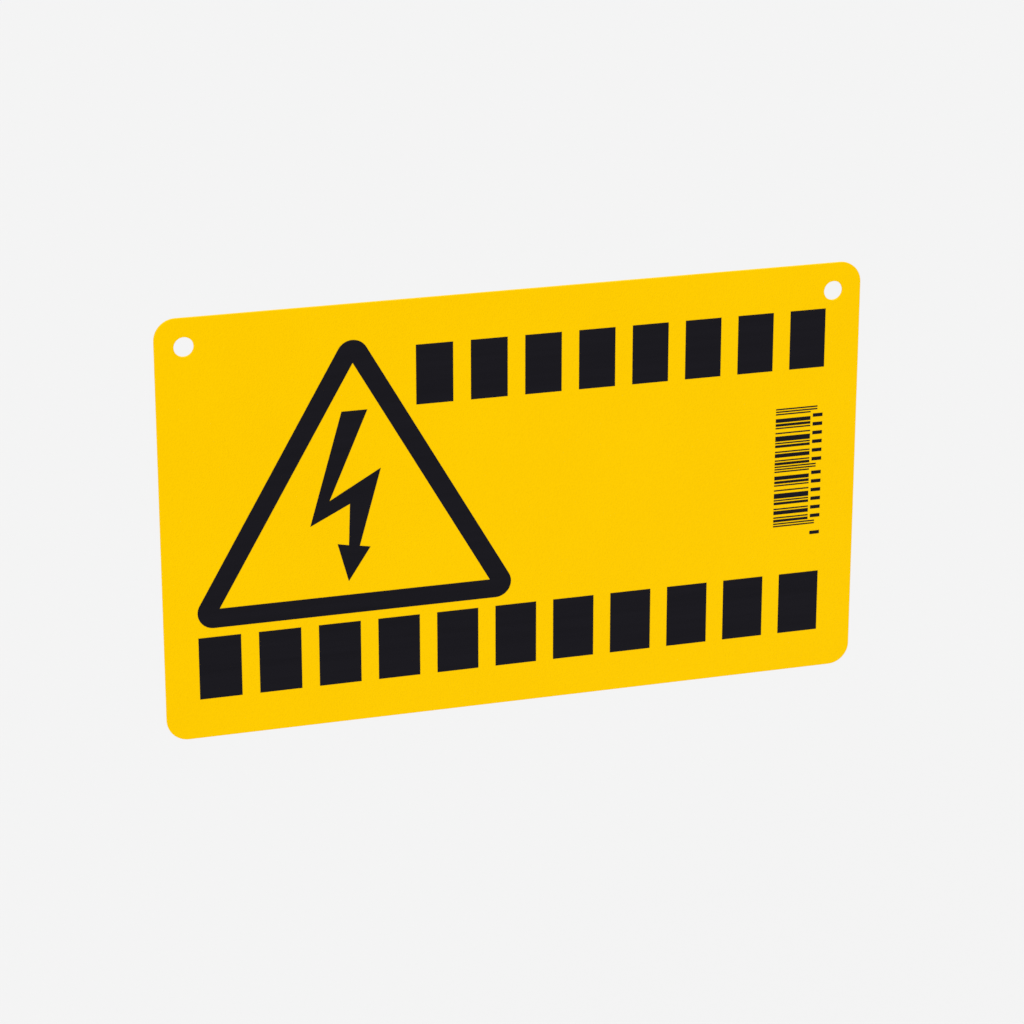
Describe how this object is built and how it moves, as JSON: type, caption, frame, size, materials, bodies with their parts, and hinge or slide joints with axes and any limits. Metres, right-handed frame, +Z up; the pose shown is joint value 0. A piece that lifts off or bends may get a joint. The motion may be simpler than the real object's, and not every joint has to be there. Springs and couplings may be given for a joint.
{
  "type": "electric fence warning sign",
  "caption": "Flat rectangular yellow plastic warning sign with rounded corners and hanging holes, printed in black on both faces with a triangle and a lightning arrow.",
  "frame": {"origin": "midpoint between the two hanging holes, on the plate's back face", "axes": "+Z up as it hangs, -Y out of the front face towards the reader, +X to the reader's right"},
  "size_m": [0.2, 0.001, 0.12],
  "materials": {
    "plate_plastic": "satin signal yellow, coloured right through",
    "ink": "thin satin black screen ink"
  },
  "bodies": {
    "root": {"plate": "plate_plastic", "triangle_front": "ink", "bolt_front": "ink", "heading_front": "ink", "lower_row_front": "ink", "code_bars": "ink", "code_marks": "ink", "triangle_back": "ink", "bolt_back": "ink", "heading_back": "ink", "lower_row_back": "ink"}
  },
  "joints": []
}
